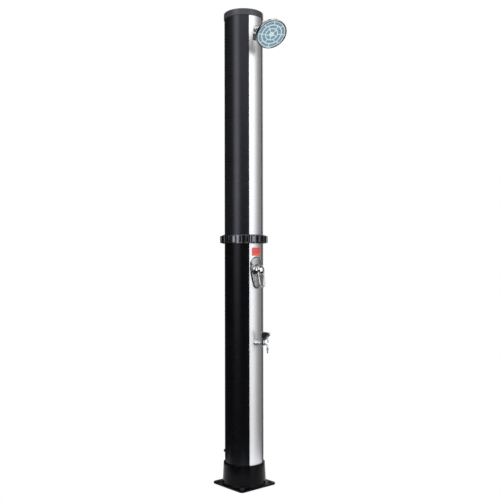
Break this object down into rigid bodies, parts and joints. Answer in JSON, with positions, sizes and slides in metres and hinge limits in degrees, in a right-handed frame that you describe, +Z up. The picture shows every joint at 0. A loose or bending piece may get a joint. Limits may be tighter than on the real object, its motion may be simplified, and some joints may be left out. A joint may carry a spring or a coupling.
{
  "type": "outdoor shower post",
  "caption": "Tall round solar tank post on a bolted square foot, with a screwed union, trim strip, lever mixer, foot tap, curved arm and swivelling shower head.",
  "frame": {"origin": "on the tank's axis at the underside of the foot, the centre of the four floor bolts", "axes": "+Z up along the tank, -Y towards the user: trim strip, mixer, foot tap and shower head; +Y towards the rear hose inlet"},
  "size_m": [0.2192, 0.3976, 2.17],
  "materials": {
    "charcoal_plastic": "charcoal, lightly textured",
    "black_plastic": "black, moulded",
    "grey_plastic": "dark grey, moulded",
    "strip_metal": "bright anodised strip",
    "chrome_brass": "polished chrome plate",
    "silver_plastic": "chrome-look plastic",
    "ice_plastic": "pale blue, satin",
    "brass": "plain brass",
    "rubber": "black rubber",
    "hose_rubber": "reinforced hose",
    "steel": "stainless steel",
    "white_plastic": "natural acetal"
  },
  "bodies": {
    "post": {"base_flange": "black_plastic", "lower_tank_tube": "charcoal_plastic", "upper_tank_tube": "charcoal_plastic", "lower_trim_strip": "strip_metal", "upper_trim_strip": "strip_metal", "bottom_plug": "black_plastic", "bottom_plug_seal": "rubber", "top_plug": "black_plastic", "top_plug_seal": "rubber", "top_cap": "grey_plastic", "union_ring": "black_plastic", "lower_coupling": "charcoal_plastic", "upper_coupling": "charcoal_plastic", "union_seal": "rubber", "inlet_connector": "grey_plastic", "inlet_gasket": "rubber", "inlet_backnut": "grey_plastic", "mixer_plate": "silver_plastic", "mixer_body": "brass", "mixer_gasket": "rubber", "mixer_locknut": "brass", "mixer_cartridge": "white_plastic", "mixer_dome": "chrome_brass", "tap_rosette": "chrome_brass", "tap_body": "chrome_brass", "tap_gasket": "rubber", "tap_backnut": "brass", "tap_bonnet": "chrome_brass", "tap_tail": "brass", "tap_tail_ring": "chrome_brass", "shower_arm": "chrome_brass", "arm_rosette": "chrome_brass", "arm_gasket": "rubber", "arm_backnut": "brass", "cold_feed_hose": "hose_rubber", "cold_link_hose": "hose_rubber", "hot_pickup_hose": "hose_rubber", "shower_riser_hose": "hose_rubber"},
    "mixer_swivel": {"mixer_rotor": "white_plastic", "mixer_pin": "steel"},
    "mixer_handle": {"mixer_spindle": "brass", "mixer_lever": "chrome_brass", "lever_screw": "steel"},
    "tap_key": {"tap_spindle": "brass", "tap_handle": "chrome_brass", "tap_handle_screw": "steel"},
    "ball_ring": {"ball_seat": "white_plastic"},
    "head_nut": {"swivel_nut": "silver_plastic"},
    "shower_head": {"head_shell": "silver_plastic", "spray_face": "ice_plastic"}
  },
  "joints": [
    {"name": "temperature_turn", "type": "hinge", "parent": "post", "child": "mixer_swivel", "pos_m": [0, -0.1015, 0.983], "axis": [0, -1, 0], "range_deg": [-45, 45]},
    {"name": "flow_lift", "type": "hinge", "parent": "mixer_swivel", "child": "mixer_handle", "pos_m": [0, -0.1015, 0.983], "axis": [-1, 0, 0], "range_deg": [0, 22]},
    {"name": "tap_turn", "type": "hinge", "parent": "post", "child": "tap_key", "pos_m": [0, -0.13, 0.654], "axis": [0, 0, 1], "range_deg": [0, 90]},
    {"name": "head_tilt", "type": "hinge", "parent": "post", "child": "ball_ring", "pos_m": [0, -0.168, 2.06426], "axis": [1, 0, 0], "range_deg": [-50, 1]},
    {"name": "head_swing", "type": "hinge", "parent": "ball_ring", "child": "head_nut", "pos_m": [0, -0.168, 2.06426], "axis": [-0.1702, -0.7088, 0.6845], "range_deg": [-7, 25]},
    {"name": "head_spin", "type": "hinge", "parent": "head_nut", "child": "shower_head", "pos_m": [0, -0.168, 2.06426], "axis": [-0.1598, -0.6656, -0.729], "continuous": true}
  ]
}
